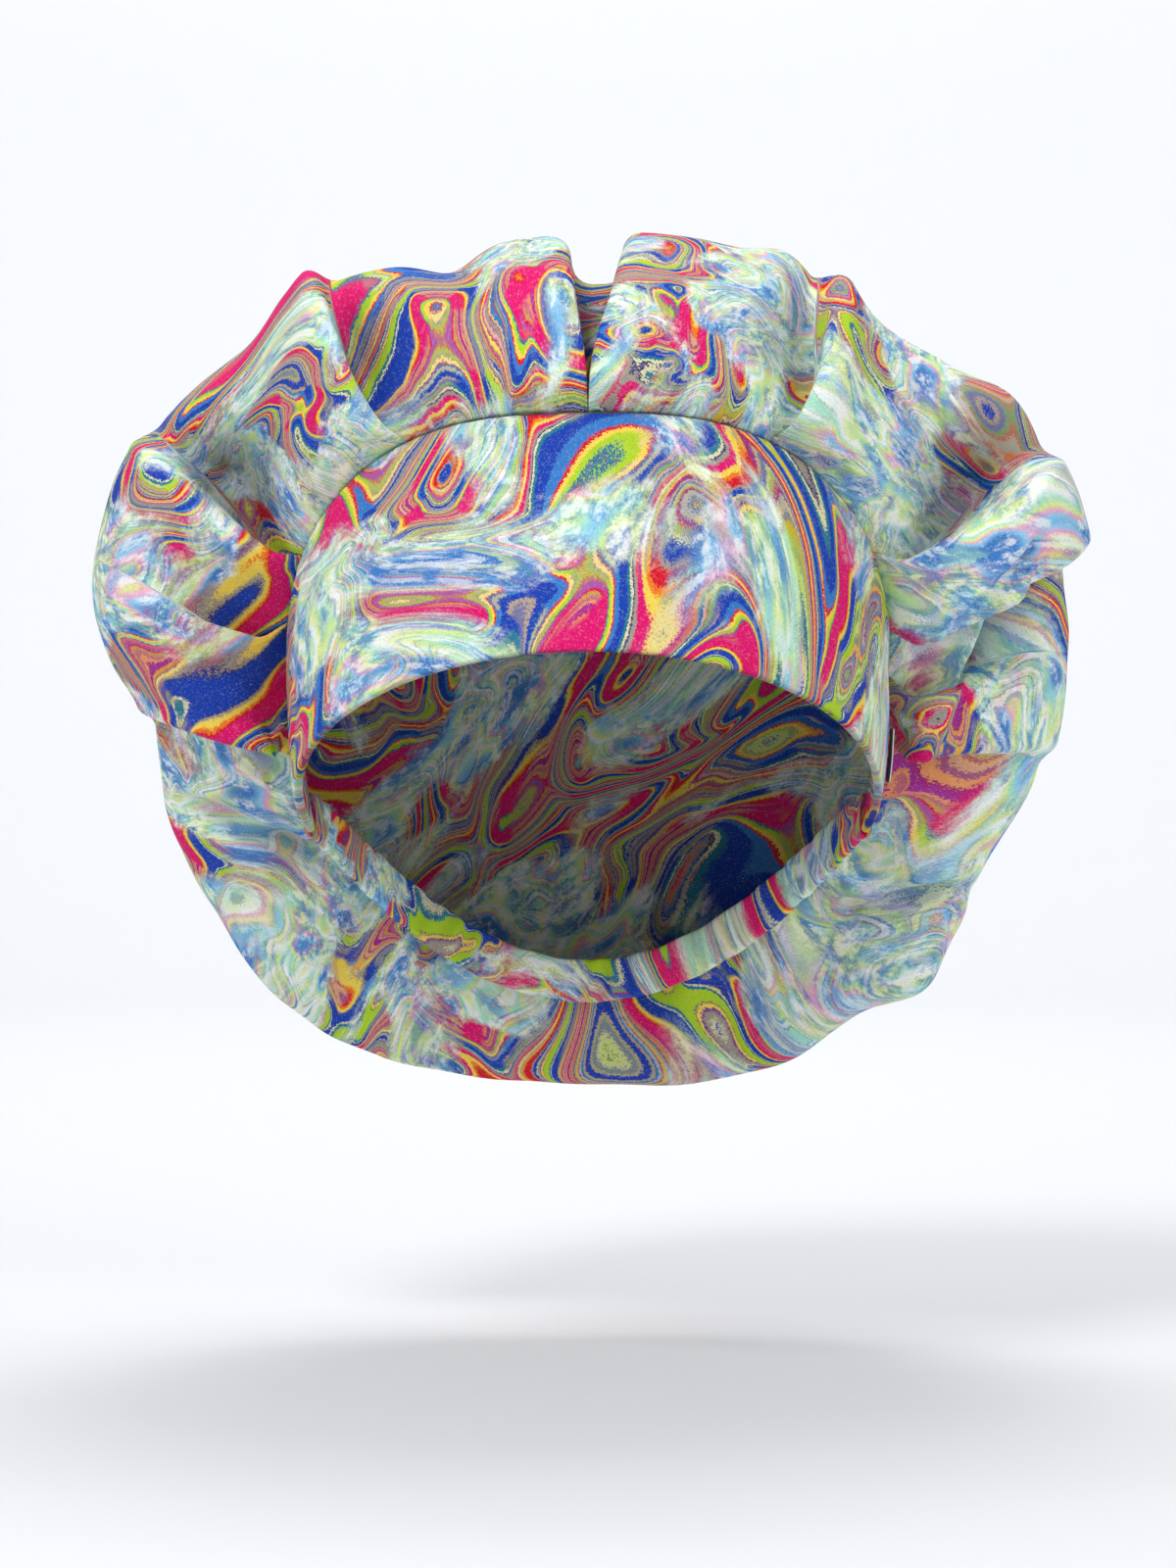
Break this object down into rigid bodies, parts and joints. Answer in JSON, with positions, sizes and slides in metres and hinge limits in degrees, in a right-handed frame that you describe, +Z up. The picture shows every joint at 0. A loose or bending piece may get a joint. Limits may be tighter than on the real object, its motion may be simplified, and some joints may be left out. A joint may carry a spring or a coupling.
{
  "type": "bouffant scrub cap",
  "caption": "Pleated bouffant cap of marbled print cotton with a crescent front band, a full bag crown and an elastic casing at the nape.",
  "frame": {"origin": "centre of the head opening, level with the ends of the front band, where the cap sits on a head", "axes": "+Z up along the head, -Y towards the forehead, +X towards the wearer's left"},
  "size_m": [0.2653, 0.2355, 0.2303],
  "materials": {
    "band_print": "matt printed cotton with a marbled paint swirl pattern",
    "crown_print": "matt printed cotton with a marbled paint swirl pattern",
    "casing_print": "matt printed cotton gathered over elastic",
    "label_black": "plain black woven tape, blank"
  },
  "bodies": {
    "root": {"front_band": "band_print", "crown": "crown_print", "nape_casing": "casing_print", "label_tab": "label_black"}
  },
  "joints": []
}
